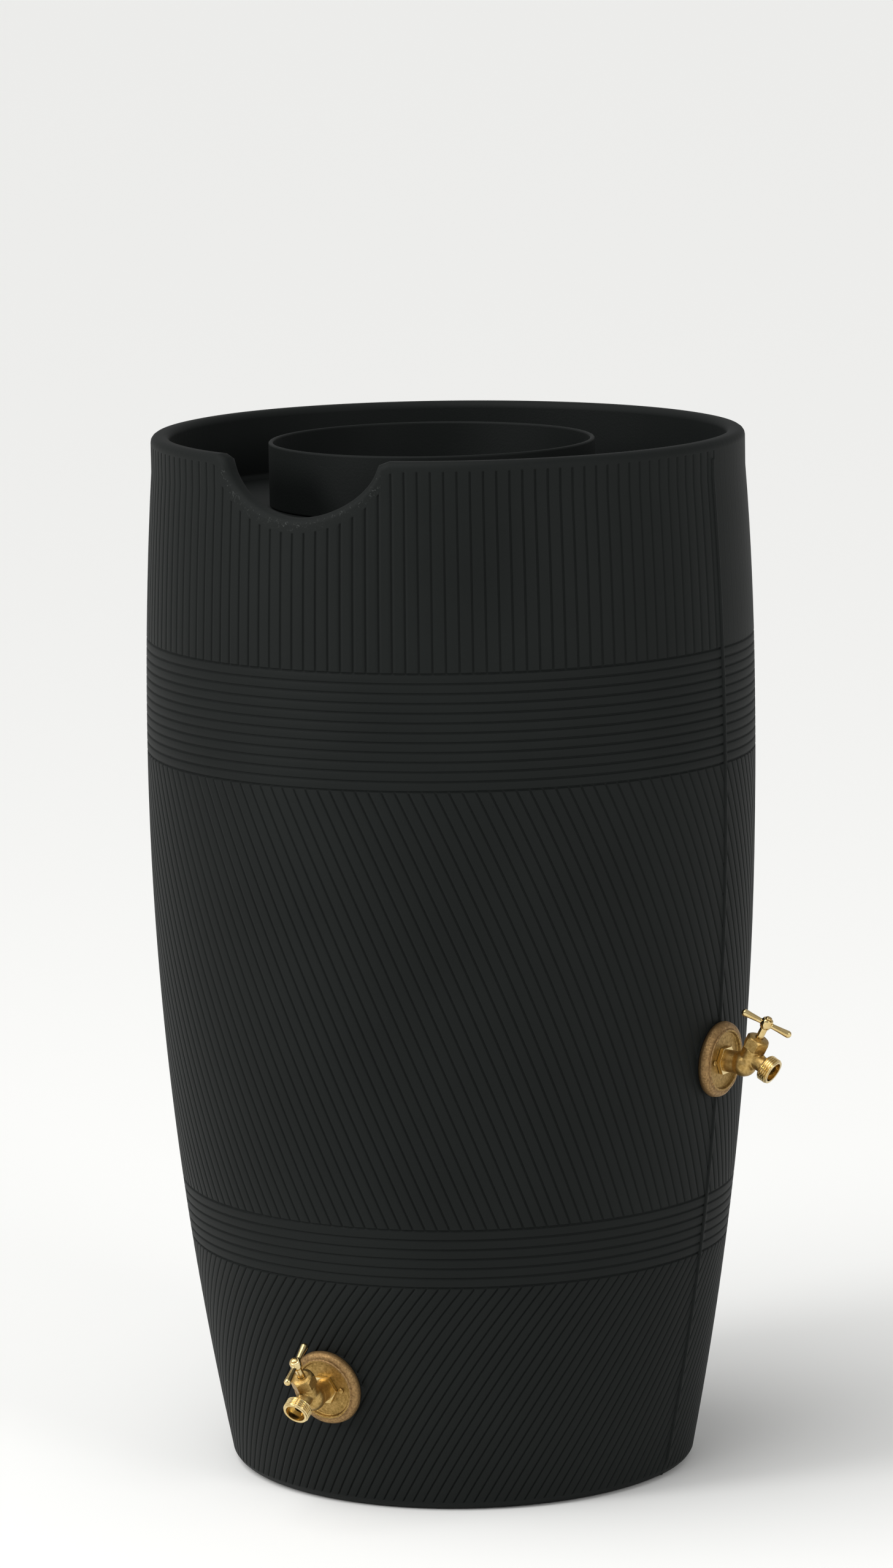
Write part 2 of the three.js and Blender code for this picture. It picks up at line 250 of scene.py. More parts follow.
def groove_panel(bm, columns, low, high, steps, twist, strength, ends):
    """Grooves side by side between two heights, rounded off where they meet a ring."""
    rows = [(0, gap, share, "low") for gap, share in ridge_end]
    rows += [(k / steps, 0, 0, "") for k in range(1, steps)]
    rows += [(1, -gap, share, "high") for gap, share in reversed(ridge_end)]

    def place(column, row):
        reed, past, share, nearest = columns[column]
        t, nudge, end_share, end = rows[row]
        top = high(column)
        z = low + (top - low) * t + nudge
        meets_ring = end in ends
        if meets_ring:
            sunk = max(share, end_share)
        else:
            sunk = share * (1 - end_share)
        at_ring = meets_ring and nudge == 0
        azimuth = (nearest if at_ring else reed) * pitch + (0 if at_ring else past) + twist(z)
        faint = 1 if meets_ring and end_share else strength(azimuth)
        return round_the_barrel(azimuth, z, outline_radius(z) - groove_depth * sunk * faint)

    sheet(bm, len(columns) - 1, len(rows) - 1, place)


def ring_band(bm, low, high, count, twist):
    spacing = (high - low) / (count - 1)
    rows = []
    for k in range(count):
        for offset, share in groove_section:
            rows.append((low + k * spacing + offset, share))
    rows = rows[2:-2]

    def place(column, row):
        z, share = rows[row]
        return round_the_barrel(column * pitch + twist, z, outline_radius(z) - groove_depth * share)

    sheet(bm, reeds_round, len(rows) - 1, place)


def rim_sheet(bm, columns, feet):
    """From the margin over the rolled rim and down the inside to the deck."""
    inner_radius = wall_radius(height) - rim_width
    quarter = [k * math.pi / 8 for k in range(5)]
    rows = ["margin"]
    rows += [("outer", angle) for angle in quarter]
    rows += [("inner", angle) for angle in quarter]
    rows += [("down", 0.5), ("down", 0.9), ("deck", 1)]

    def place(column, row):
        reed, past, _, nearest = columns[column]
        foot, inwards = feet[column]
        rounding = rim_rounding
        inner_rounding = min(rounding, 0.8 * (foot.y - deck_height))
        turn = reed * pitch + past
        if rows[row] == "margin":
            stop = foot.y + inwards.y * band_width(foot)
            return round_the_barrel(turn, stop, outline_radius(stop))
        kind, value = rows[row]
        if kind == "outer":
            flat = foot + inwards * rounding * (1 - math.sin(value))
            radius = outline_radius(flat.y) - rounding * (1 - math.cos(value))
            return round_the_barrel(math.degrees(flat.x / wall_radius(height)), flat.y, radius)
        if kind == "inner":
            flat = foot + inwards * inner_rounding * (1 - math.cos(value))
            radius = inner_radius + inner_rounding * (1 - math.sin(value))
            return round_the_barrel(math.degrees(flat.x / wall_radius(height)), flat.y, radius)
        flat = foot + inwards * inner_rounding
        start = math.degrees(flat.x / wall_radius(height))
        goal = nearest * pitch if kind == "deck" else turn
        goal += 360 * round((start - goal) / 360)
        return round_the_barrel(start + (goal - start) * value,
                                flat.y + (deck_height - flat.y) * value, inner_radius)

    sheet(bm, len(columns) - 1, len(rows) - 1, place)


def foot_sheet(bm, columns):
    """Under the lowest grooves, round the corner to the ground and in to the axis."""
    heights = (0, 0.8, 2.5, 5, groove_foot)

    def corner(column, row):
        reed, past, _, nearest = columns[column]
        z = heights[row]
        azimuth = (nearest * pitch if row == 0 else reed * pitch + past) + lower_twist(z)
        return round_the_barrel(azimuth, z, outline_radius(z))

    sheet(bm, len(columns) - 1, len(heights) - 1, corner)

    def underside(column, row):
        azimuth = column * pitch + lower_twist(0)
        return round_the_barrel(azimuth, 0, outline_radius(0) * row / 2)

    sheet(bm, reeds_round, 2, underside)


def hollow_sheet(bm):
    """The inside of the wall, from the deck's underside down to the floor's middle."""
    steps = 24
    corner_steps = 4
    under_deck = deck_height - wall
    centre = wall_radius(base_corner) - base_corner
    rows = [(0, wall), (centre / 2, wall)]
    for k in range(corner_steps):
        angle = math.pi / 2 * k / corner_steps
        inside = base_corner - wall
        rows.append((centre + inside * math.sin(angle), base_corner - inside * math.cos(angle)))
    for k in range(steps + 1):
        z = base_corner + (under_deck - base_corner) * k / steps
        rows.append((wall_radius(z) - wall, z))
    around = reeds_round // 2

    def place(column, row):
        radius, z = rows[row]
        return round_the_barrel(column * 2 * pitch, z, radius)

    sheet(bm, around, len(rows) - 1, place)


def deck_hole(bm, y, radius, around):
    rows = [
        (radius, deck_height - wall),
        (radius, deck_height - hole_rounding),
        (radius + 0.3 * hole_rounding, deck_height - 0.3 * hole_rounding),
        (radius + hole_rounding, deck_height),
    ]

    def place(column, row):
        angle = 2 * math.pi * column / around
        out, z = rows[row]
        return Vector((out * math.cos(angle), y + out * math.sin(angle), z))

    sheet(bm, around, len(rows) - 1, place)


def fill_level(bm, z):
    """Closes the open loops that lie at one height with a flat face between them."""
    loops = [e for e in bm.edges if e.is_boundary and all(abs(v.co.z - z) < 0.05 for v in e.verts)]
    bmesh.ops.triangle_fill(bm, edges=loops, use_beauty=True, use_dissolve=False, normal=(0, 0, 1))


def loose_object(bm):
    mesh = bpy.data.meshes.new("work")
    bm.to_mesh(mesh)
    bm.free()
    made = bpy.data.objects.new("work", mesh)
    bpy.context.scene.collection.objects.link(made)
    return made


def worked(bm, *steps):
    """Runs a mesh through modifiers, each a kind and its settings."""
    piece = loose_object(bm)
    for kind, settings in steps:
        modifier = piece.modifiers.new(kind, kind)
        for name, value in settings.items():
            setattr(modifier, name, value)
    evaluated = piece.evaluated_get(bpy.context.evaluated_depsgraph_get())
    result = bmesh.new()
    result.from_mesh(evaluated.to_mesh())
    bpy.data.objects.remove(piece)
    return result


def combined(whole, tool, operation):
    """Joins one closed mesh to another with UNION, or cuts it with DIFFERENCE."""
    cutter = loose_object(tool)
    settings = {"solver": "MANIFOLD", "operation": operation, "object": cutter}
    result = worked(whole, ("BOOLEAN", settings))
    bpy.data.objects.remove(cutter)
    return result


def turned(profile, steps=48, closed=False):
    """A line of (radius, height) points spun once about +Z."""
    bm = bmesh.new()
    points = [bm.verts.new((radius, 0, z)) for radius, z in profile]
    edges = [bm.edges.new(pair) for pair in zip(points, points[1:])]
    if closed:
        edges.append(bm.edges.new((points[-1], points[0])))
    bmesh.ops.spin(bm, geom=points + edges, cent=(0, 0, 0), axis=(0, 0, 1),
                   angle=2 * math.pi, steps=steps, use_merge=True)
    bmesh.ops.remove_doubles(bm, verts=bm.verts, dist=0.001)
    bmesh.ops.recalc_face_normals(bm, faces=bm.faces)
    return bm


def drum(radius, low, high, steps=48):
    return turned([(0, low), (radius, low), (radius, high), (0, high)], steps)


def seam_bead(side):
    """The raised line that the mould's joint leaves, bent forward towards the foot."""
    radius = 2.2
    rise = 1.8
    low = 3
    high = 1018
    steps = 60
    sides = 10
    forward = 2.5
    lean = 9.5
    upright_from = 400
    bm = bmesh.new()

    def place(column, row):
        z = low + (high - low) * min(max((row - 1) / (steps - 2), 0), 1)
        y = -forward - lean * max(1 - z / upright_from, 0) ** 2
        angle = 2 * math.pi * column / sides
        size = radius if 0 < row < steps else 0
        middle = math.sqrt((outline_radius(z) + rise - radius) ** 2 - y * y)
        return Vector((side * (middle + size * math.cos(angle)), y + side * size * math.sin(angle), z))

    sheet(bm, sides, steps, place)
    bmesh.ops.remove_doubles(bm, verts=bm.verts, dist=0.001)
    bmesh.ops.recalc_face_normals(bm, faces=bm.faces)
    return bm


# Where each tap meets the wall: +Z outwards, +Y up the wall, +X to the right.
taps = {"front": (-90.6, 125, 6), "side": (-1.2, 430, 20)}
pad_radius = 36
pad_depth = 7.5
shank_hole = 11.2


def tap_frame(name):
    direction, z, _ = taps[name]
    lean = math.atan(2 * lower_draw * (belly_height - z))
    radial = Vector((math.cos(math.radians(direction)), math.sin(math.radians(direction)), 0))
    up = Vector((0, 0, 1))
    out = radial * math.cos(lean) - up * math.sin(lean)
    along = radial * math.sin(lean) + up * math.cos(lean)
    turn = Matrix((along.cross(out), along, out)).transposed().to_4x4()
    return Matrix.Translation(radial * wall_radius(z) + up * z) @ turn


def shaded(bm, name, body, materials, replaces, flat=None):
    """Makes the finished piece from a mesh in millimetres."""
    bmesh.ops.scale(bm, vec=(0.001, 0.001, 0.001), verts=bm.verts)
    for face in bm.faces:
        face.smooth = True
    mesh = bpy.data.meshes.new(name)
    bm.to_mesh(mesh)
    bm.free()
    for material in materials:
        mesh.materials.append(material)
    piece = bpy.data.objects.new(name, mesh)
    bpy.context.scene.collection.objects.link(piece)
    if flat is not None:
        mesh.set_sharp_from_angle(angle=math.radians(flat))
    normals = piece.modifiers.new("even shading", "WEIGHTED_NORMAL")
    normals.mode = "FACE_AREA"
    normals.keep_sharp = flat is not None
    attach(piece, body)
    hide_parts(*replaces)
    return piece


edge = rim_edge()
columns, feet = shell_columns(edge)


def stop_height(column):
    foot, inwards = feet[column]
    return foot.y + inwards.y * band_width(foot)


def is_back(azimuth):
    return 90 < azimuth % 360 < 270


shell = bmesh.new()
groove_panel(shell, columns, upper_band[1], stop_height, 7, lambda z: 0,
             lambda a: faint_reeds if is_back(a) else 1, ("low",))
groove_panel(shell, columns, lower_band[1], lambda column: upper_band[0], 27, upper_twist,
             lambda a: 1, ("low", "high"))
groove_panel(shell, columns, groove_foot, lambda column: lower_band[0], 15, lower_twist,
             lambda a: faint_lower if is_back(a) else 1, ("high",))
ring_band(shell, *upper_band, 0)
ring_band(shell, *lower_band, 0.5 * pitch)
rim_sheet(shell, columns, feet)
foot_sheet(shell, columns)
hollow_sheet(shell)
deck_hole(shell, planter_y, planter_hole, 96)
deck_hole(shell, inlet_y, inlet_hole, 48)
bmesh.ops.remove_doubles(shell, verts=shell.verts, dist=0.01)
fill_level(shell, deck_height)
fill_level(shell, deck_height - wall)
bmesh.ops.recalc_face_normals(shell, faces=shell.faces)
for side_sign in (1, -1):
    shell = combined(shell, seam_bead(side_sign), "UNION")
for tap in taps:
    pad = drum(pad_radius, -pad_depth, 0, 96)
    pad.transform(tap_frame(tap))
    shell = combined(shell, pad, "UNION")
    hole = drum(shank_hole, -30, 20)
    hole.transform(tap_frame(tap))
    shell = combined(shell, hole, "DIFFERENCE")


# Rotomoulded polyethylene: dull black with a fine pebbled skin, and pale nicks where
# the flash was trimmed off the notch.
def linear(code):
    """An sRGB hex value as a linear colour."""
    parts = [int(code[k:k + 2], 16) / 255 for k in (1, 3, 5)]
    return [p / 12.92 if p <= 0.04045 else ((p + 0.055) / 1.055) ** 2.4 for p in parts] + [1]


def add(tree, kind, inputs=None, **settings):
    """Adds a node. Each input is a value, or another node's output to link."""
    made = tree.nodes.new(kind)
    for name, value in settings.items():
        setattr(made, name, value)
    for socket, value in (inputs or {}).items():
        if isinstance(value, bpy.types.NodeSocket):
            tree.links.new(value, made.inputs[socket])
        else:
            made.inputs[socket].default_value = value
    return made


def material(name):
    made = bpy.data.materials.new(name)
    made.use_nodes = True
    made.node_tree.nodes.clear()
    return made, made.node_tree


def per_mm(size):
    """The scale of a pattern on Object coordinates that repeats every so many mm."""
    return 1000 / size


def polyethylene(name, scuffed):
    made, tree = material(name)
    place = add(tree, "ShaderNodeTexCoord").outputs["Object"]
    cloud = add(tree, "ShaderNodeTexNoise", {"Vector": place, "Scale": per_mm(160), "Detail": 3.0})
    pebble = add(tree, "ShaderNodeTexNoise", {"Vector": place, "Scale": per_mm(2.2), "Detail": 2.0})
    tone = add(tree, "ShaderNodeValToRGB", {"Fac": cloud.outputs["Fac"]})
    tone.color_ramp.elements[0].position = 0.3
    tone.color_ramp.elements[0].color = linear("#0f1211")
    tone.color_ramp.elements[1].position = 0.7
    tone.color_ramp.elements[1].color = linear("#141716")
    colour = tone.outputs["Color"]
    if scuffed:
        mask = add(tree, "ShaderNodeAttribute", attribute_name="scuff").outputs["Fac"]
        nick = add(tree, "ShaderNodeTexNoise", {"Vector": place, "Scale": per_mm(4), "Detail": 5.0,
                                                "Distortion": 1.5})
        sharp = add(tree, "ShaderNodeValToRGB", {"Fac": nick.outputs["Fac"]})
        sharp.color_ramp.elements[0].position = 0.58
        sharp.color_ramp.elements[1].position = 0.8
        share = add(tree, "ShaderNodeMath", {0: sharp.outputs["Color"], 1: mask}, operation="MULTIPLY")
        mix = add(tree, "ShaderNodeMix", {"Factor": share.outputs[0], "A": colour,
                                          "B": linear("#4b4e4c")}, data_type="RGBA")
        colour = mix.outputs["Result"]
    rough = add(tree, "ShaderNodeMapRange", {"Value": cloud.outputs["Fac"], "To Min": 0.58, "To Max": 0.68})
    bump = add(tree, "ShaderNodeBump", {"Height": pebble.outputs["Fac"], "Strength": 0.35,
                                        "Distance": 0.0004})
    shader = add(tree, "ShaderNodeBsdfPrincipled", {
        "Base Color": colour, "Roughness": rough.outputs["Result"], "Normal": bump.outputs["Normal"],
        "IOR": 1.5, "Specular IOR Level": 0.13})
    add(tree, "ShaderNodeOutputMaterial", {"Surface": shader.outputs["BSDF"]})
    return made


tank_plastic = polyethylene("rotomoulded polyethylene, trimmed at the notch", True)
bowl_plastic = polyethylene("rotomoulded polyethylene", False)
scuff_low = 4
scuff_high = 10.5
scuff_top = 12
outer_skin = 4
nearby_edge = [(p, d) for p, d in edge if p.y < height - scuff_top]
scuff = shell.verts.layers.float.new("scuff")
for vert in shell.verts:
    low_enough = height - notch_depth - scuff_top < vert.co.z < height - scuff_top
    if low_enough and vert.co.y < 0 and abs(vert.co.x) < notch_half + scuff_top:
        out = math.hypot(vert.co.x, vert.co.y)
        around = math.atan2(vert.co.x, -vert.co.y) * wall_radius(height)
        flat = Vector((around, vert.co.z))
        away = min((p - flat).length for p, _ in nearby_edge)
        if out > outline_radius(vert.co.z) - outer_skin and scuff_low < away < scuff_high:
            vert[scuff] = 1
shaded(shell, "tank", "tank", [tank_plastic], ["tank_shell"])


# ---- Planter bowl
# A black polyethylene tub that hangs in the deck's big hole by its flared neck and
# stands up inside the rim. It lifts out, and drains through five holes in its floor.

planter_ring = 160
planter_neck = 147
planter_foot = 132
planter_top = 1029
planter_floor = 806
drain_radius = 4.5
drain_circle = 80
seat_gap = 0.3


def rounded(corners, steps=4):
    """Corner points (radius, height, rounding) as a line with its corners eased."""
    line = []
    for k, (x, y, rounding) in enumerate(corners):
        here = Vector((x, y))
        if not rounding:
            line.append((x, y))
            continue
        before = Vector(corners[k - 1][:2])
        after = Vector(corners[(k + 1) % len(corners)][:2])
        start = here + (before - here).normalized() * rounding
        end = here + (after - here).normalized() * rounding
        for i in range(steps + 1):
            t = i / steps
            point = start * (1 - t) ** 2 + here * 2 * t * (1 - t) + end * t**2
            line.append((point.x, point.y))
    return line


seat = deck_height + seat_gap
bowl = turned(rounded([
    (0, planter_floor, 0),
    (planter_foot, planter_floor, 10),
    (planter_neck, seat, 2),
    (planter_ring, seat, 2),
    (planter_ring, planter_top, 2.2),
    (planter_ring - wall, planter_top, 2.2),
    (planter_ring - wall, seat + wall, 3),
    (planter_neck - wall, seat + wall, 3),
    (planter_foot - wall, planter_floor + wall, 8),
    (0, planter_floor + wall, 0),
]), 128)
drain_places = [(0, 0)]
for k in range(4):
    drain_places.append((drain_circle * math.cos(k * math.pi / 2), drain_circle * math.sin(k * math.pi / 2)))
for x, y in drain_places:
    drain = drum(drain_radius, planter_floor - 5, planter_floor + wall + 5, 24)
    drain.transform(Matrix.Translation((x, y, 0)))
    bowl = combined(bowl, drain, "DIFFERENCE")
bowl.transform(Matrix.Translation((0, planter_y, 0)))
shaded(bowl, "planter", "planter", [bowl_plastic], ["planter_bowl"], 40)


# ---- Inlet strainer
# A black cup that drops into the hole behind the planter, under the downspout, with a
# disc of woven stainless wire lying on the cross bars in its floor.

strainer_sleeve = 49.7
strainer_bore = 46.5
strainer_flange = 57
strainer_drop = 30
strainer_lip = 42
bar_width = 4
bar_depth = 2.5
wire_radius = 0.4
wire_pitch = 4.2

strainer_foot = seat - strainer_drop
cup = turned(rounded([
    (strainer_lip, strainer_foot, 0.5),
    (strainer_sleeve, strainer_foot, 1),
    (strainer_sleeve, seat, 0.5),
    (strainer_flange, seat, 0.8),
    (strainer_flange, seat + 3, 1.2),
    (strainer_bore, seat + 3, 1),
    (strainer_bore, strainer_foot + bar_depth, 0.5),
    (strainer_lip, strainer_foot + bar_depth, 0.5),
]), 96, closed=True)
for turn in (0, 90):
    bar = bmesh.new()
    bmesh.ops.create_cube(bar, size=1)
    bmesh.ops.scale(bar, vec=(2 * strainer_lip + bar_width, bar_width, bar_depth), verts=bar.verts)
    bmesh.ops.bevel(bar, geom=bar.edges, offset=0.5, segments=2, profile=0.5, material=-1, affect="EDGES")
    bar.transform(Matrix.Translation((0, 0, strainer_foot + bar_depth / 2 + 0.01)))
    bar.transform(Matrix.Rotation(math.radians(turn), 4, "Z"))
    cup = combined(cup, bar, "UNION")
cup.transform(Matrix.Translation((0, inlet_y, 0)))
shaded(cup, "strainer_cup", "strainer", [bowl_plastic], ["strainer_ring"], 40)


def wire(bm, across, turn):
    """One wire of the screen, waved over and under the wires that it crosses."""
    sides = 6
    reach = math.sqrt((strainer_bore - seat_gap) ** 2 - across**2)
    steps = max(2, round(2 * reach / wire_pitch * 3))
    level = strainer_foot + bar_depth + seat_gap + 2 * wire_radius

    def place(column, row):
        along = reach * (2 * row / steps - 1)
        phase = math.pi * (along / wire_pitch + round(across / wire_pitch) + turn)
        angle = 2 * math.pi * column / sides
        size = wire_radius if 0 < row < steps else 0
        wave = wire_radius * math.cos(phase)
        point = Vector((along, across + size * math.cos(angle), level + wave + size * math.sin(angle)))
        return Matrix.Rotation(turn * math.pi / 2, 3, "Z") @ point

    sheet(bm, sides, steps, place)


screen = bmesh.new()
wires_each_way = int((strainer_bore - 2 * wire_radius) / wire_pitch)
for turn in (0, 1):
    for k in range(-wires_each_way, wires_each_way + 1):
        wire(screen, k * wire_pitch, turn)
bmesh.ops.remove_doubles(screen, verts=screen.verts, dist=0.001)
bmesh.ops.recalc_face_normals(screen, faces=screen.faces)
screen.transform(Matrix.Translation((0, inlet_y, 0)))


# Drawn stainless wire: a grey metal with a soft shine.
def stainless():
    made, tree = material("drawn stainless wire")
    place = add(tree, "ShaderNodeTexCoord").outputs["Object"]
    dull = add(tree, "ShaderNodeTexNoise", {"Vector": place, "Scale": per_mm(8)})
    rough = add(tree, "ShaderNodeMapRange", {"Value": dull.outputs["Fac"], "To Min": 0.25, "To Max": 0.45})
    shader = add(tree, "ShaderNodeBsdfPrincipled", {
        "Base Color": linear("#b4b6b8"), "Metallic": 1.0, "Roughness": rough.outputs["Result"]})
    add(tree, "ShaderNodeOutputMaterial", {"Surface": shader.outputs["BSDF"]})
    return made


shaded(screen, "strainer_screen", "strainer", [stainless()], ["strainer_mesh"])


# ---- Brass finishes
# The wall flange is rough from the sand mould and has gone brown. The valve body is
# cast and tumbled. Nuts, threads, stem and handle are turned or polished bright.

def brass(name, dark, light, mottle_mm, grain_mm, grain_depth, rough_low, rough_high):
    made, tree = material(name)
    place = add(tree, "ShaderNodeTexCoord").outputs["Object"]
    mottle = add(tree, "ShaderNodeTexNoise", {"Vector": place, "Scale": per_mm(mottle_mm), "Detail": 5.0})
    grain = add(tree, "ShaderNodeTexNoise", {"Vector": place, "Scale": per_mm(grain_mm), "Detail": 2.0})
    both = add(tree, "ShaderNodeMix", {"Factor": 0.35, "A": mottle.outputs["Fac"],
                                       "B": grain.outputs["Fac"]}, data_type="FLOAT")
    tone = add(tree, "ShaderNodeValToRGB", {"Fac": both.outputs["Result"]})
    tone.color_ramp.elements[0].position = 0.35
    tone.color_ramp.elements[0].color = linear(dark)
    tone.color_ramp.elements[1].position = 0.65
    tone.color_ramp.elements[1].color = linear(light)
    rough = add(tree, "ShaderNodeMapRange", {"Value": both.outputs["Result"], "From Min": 0.3,
                                             "From Max": 0.7, "To Min": rough_high, "To Max": rough_low})
    bump = add(tree, "ShaderNodeBump", {"Height": grain.outputs["Fac"], "Strength": 0.6,
                                        "Distance": grain_depth / 1000})
    shader = add(tree, "ShaderNodeBsdfPrincipled", {
        "Base Color": tone.outputs["Color"], "Metallic": 1.0, "Roughness": rough.outputs["Result"],
        "Normal": bump.outputs["Normal"]})
    add(tree, "ShaderNodeOutputMaterial", {"Surface": shader.outputs["BSDF"]})
    return made


sand_cast = brass("sand-cast brass with its brown skin", "#7a6040", "#a98a5e", 2.2, 0.8, 0.5, 0.45, 0.65)
dished_face = brass("sand-cast brass wiped brighter", "#856b38", "#b3935a", 3, 0.9, 0.4, 0.38, 0.55)
tumbled = brass("tumbled cast brass", "#967840", "#c4a468", 3, 0.8, 0.25, 0.3, 0.46)
polished = brass("polished brass", "#c4a566", "#ead6a2", 12, 0.6, 0.02, 0.14, 0.24)


# ---- Taps
# Two brass hose taps. A sand-cast flange is screwed to the wall, the valve's shank goes
# through it and the wall to a lock nut, and the tee handle turns the stem that lifts a
# rubber washer off its seat. Each is built in its own frame, the wall being z = 0.

stem_tilt = math.radians(24)
stem_foot = 33.3
shank_radius = 10.5
shank_end = -24
flange_radius = 38
flange_face = 8.3
flange_screw_x = 18.5
shoulder_flats = 26
outlet_on_stem = 9.8
outlet_length = 29.5
hose_thread = 13.4
hose_thread_length = 12
thread_pitch = 25.4 / 11.5
barrel_top = 25
nut_flats = 21.5
nut_top = 32
hub_height = 48.5
handle_span = 53.4

# From the stem's own frame, +Z along the stem and -Y down the outlet, to the tap's.
stem_frame = Matrix.Translation((0, 0, stem_foot)) @ Matrix((
    (1, 0, 0),
    (0, math.sin(stem_tilt), math.cos(stem_tilt)),
    (0, -math.cos(stem_tilt), math.sin(stem_tilt)),
)).to_4x4()
outlet_frame = stem_frame @ Matrix.Translation((0, 0, outlet_on_stem)) @ Matrix.Rotation(math.pi / 2, 4, "X")


def moved(bm, matrix):
    bm.transform(matrix)
    return bm


def wall_flange(seed):
    """A dished disc with a thick rounded rim and a ragged lip left by the sand."""
    disc = turned(rounded([
        (shank_hole, seat_gap, 0),
        (flange_radius - 2, seat_gap, 1),
        (flange_radius, 3.5, 2),
        (flange_radius - 1, 9, 2.5),
        (flange_radius - 4.5, 10.6, 1),
        (31.3, 10.4, 0.3),
        (30.8, 11.5, 0.5),
        (28.7, 11.5, 0.6),
        (27.7, flange_face, 1.2),
        (shank_hole, flange_face, 0),
    ]), 160, closed=True)
    for vert in disc.verts:
        radius = math.hypot(vert.co.x, vert.co.y)
        if radius > 28.2 and vert.co.z > 1:
            around = Vector((vert.co.x / radius, vert.co.y / radius, seed))
            swell = noise.noise(around * 3)
            ragged = noise.noise(around * 17) + 0.6 * noise.noise(around * 43)
            lip = 28.5 < radius < 31.7
            vert.co.z += 0.45 * ragged if lip else 0.25 * swell
            grow = 1 + (0.018 * ragged if 30.5 < radius < 31.7 else 0.008 * (swell - 0.5))
            vert.co.x *= grow
            vert.co.y *= grow
    for face in disc.faces:
        middle = face.calc_center_median()
        face.material_index = int(math.hypot(middle.x, middle.y) < 30 and middle.z > 4)
    return disc


def hex_prism(flats, low, high, corner):
    """A hexagonal bar, its corners turned off at both ends like a nut's."""
    bm = bmesh.new()
    reach = flats / 2 / math.cos(math.pi / 6)
    bmesh.ops.create_cone(bm, cap_ends=True, segments=6, radius1=reach, radius2=reach, depth=high - low)
    bm.transform(Matrix.Rotation(corner, 4, "Z"))
    bm.transform(Matrix.Translation((0, 0, (low + high) / 2)))
    bmesh.ops.bevel(bm, geom=bm.edges, offset=0.35, segments=2, profile=0.5, material=-1, affect="EDGES")
    return bm


def thread(low, high, crest):
    """A screw thread: a round bar whose skin rises and falls along a helix."""
    depth = 1.0
    sides = 72
    steps = 60
    bm = bmesh.new()

    def place(column, row):
        angle = 2 * math.pi * column / sides
        if row in (0, steps):
            return Vector((0, 0, low if row == 0 else high))
        z = low + (high - low) * (row - 1) / (steps - 2)
        run = (z - low) / thread_pitch - column / sides
        rise = 0.5 + 0.5 * math.cos(2 * math.pi * run)
        lead_in = smoothstep(z, low, low + 1.2) * (1 - smoothstep(z, high - 1.6, high - 0.2))
        radius = crest - depth * (1 - min(1, 1.4 * rise) * lead_in)
        return Vector((radius * math.cos(angle), radius * math.sin(angle), z))

    sheet(bm, sides, steps, place)
    bmesh.ops.remove_doubles(bm, verts=bm.verts, dist=0.0001)
    bmesh.ops.recalc_face_normals(bm, faces=bm.faces)
    return bm


def ball(radius, place):
    bm = bmesh.new()
    bmesh.ops.create_uvsphere(bm, u_segments=32, v_segments=20, radius=radius)
    bm.transform(Matrix.Translation(place))
    return bm


def absorb(whole, part):
    """Puts a loose part's faces into another mesh."""
    mesh = bpy.data.meshes.new("part")
    part.to_mesh(mesh)
    part.free()
    whole.from_mesh(mesh)
    bpy.data.meshes.remove(mesh)


def valve_body():
    thread_start = outlet_length - hose_thread_length
    casting = bmesh.new()
    for part in (
        drum(11, flange_face + 3, stem_foot - 2),
        ball(13, (0, 0.5, stem_foot - 2)),
        moved(drum(10.3, 0, 18.5), stem_frame),
        moved(drum(9.6, 17, barrel_top), stem_frame),
        moved(drum(8, 3, thread_start + 2), outlet_frame),
        moved(ball(1.7, (0, 7.6, 12.4)), outlet_frame),
    ):
        absorb(casting, part)
    casting = worked(
        casting,
        ("REMESH", {"mode": "VOXEL", "voxel_size": 0.6}),
        ("SMOOTH", {"factor": 0.5, "iterations": 7}),
    )
    dimple_depth = 0.12
    for vert in casting.verts:
        vert.co += vert.normal * dimple_depth * noise.noise(vert.co * 0.25)
    bright = [
        thread_collar(thread_start),
        moved(thread(thread_start + 1.2, outlet_length, hose_thread), outlet_frame),
        hex_prism(shoulder_flats, flange_face + seat_gap, flange_face + 4.5, math.pi / 2),
        thread(shank_end, flange_face + 1, shank_radius),
    ]
    for part in bright:
        for face in part.faces:
            face.material_index = 1
        casting = combined(casting, part, "UNION")
    bores = [
        drum(5, shank_end - 1, stem_foot, 32),
        moved(drum(3.8, 0, 9, 32), stem_frame),
        moved(drum(7.2, 7.8, 17), stem_frame),
        moved(drum(6.6, 16.5, barrel_top + 1), stem_frame),
        moved(drum(5, 5.5, outlet_length, 32), outlet_frame @ Matrix.Translation((0, -1.7, 0))),
        moved(drum(10, outlet_length - 8, outlet_length + 1), outlet_frame),
    ]
    for bore in bores:
        for face in bore.faces:
            face.material_index = 1
        casting = combined(casting, bore, "DIFFERENCE")
    return casting


def thread_collar(start):
    collar = turned(rounded([
        (0, start - 0.6, 0),
        (9, start - 0.6, 0.4),
        (12.2, start + 0.8, 0.5),
        (12.2, start + 2, 0),
        (0, start + 2, 0),
    ]), 72)
    return moved(collar, outlet_frame)


def packing_nut():
    """A hexagonal nut, domed above and chamfered below, over the packing."""
    nut = hex_prism(nut_flats, 19, nut_top, 0)
    dome = turned(rounded([
        (0, 18.5, 0),
        (11.3, 18.5, 0),
        (12.8, 19.8, 0.4),
        (12.8, 28, 0.8),
        (10.2, 30.9, 0.8),
        (7.2, nut_top, 0.6),
        (0, nut_top, 0),
    ]), 96)
    nut = combined(nut, dome, "INTERSECT")
    nut = combined(nut, drum(9.8, 18, 28.1), "DIFFERENCE")
    return combined(nut, drum(4.1, 18, nut_top + 1, 40), "DIFFERENCE")


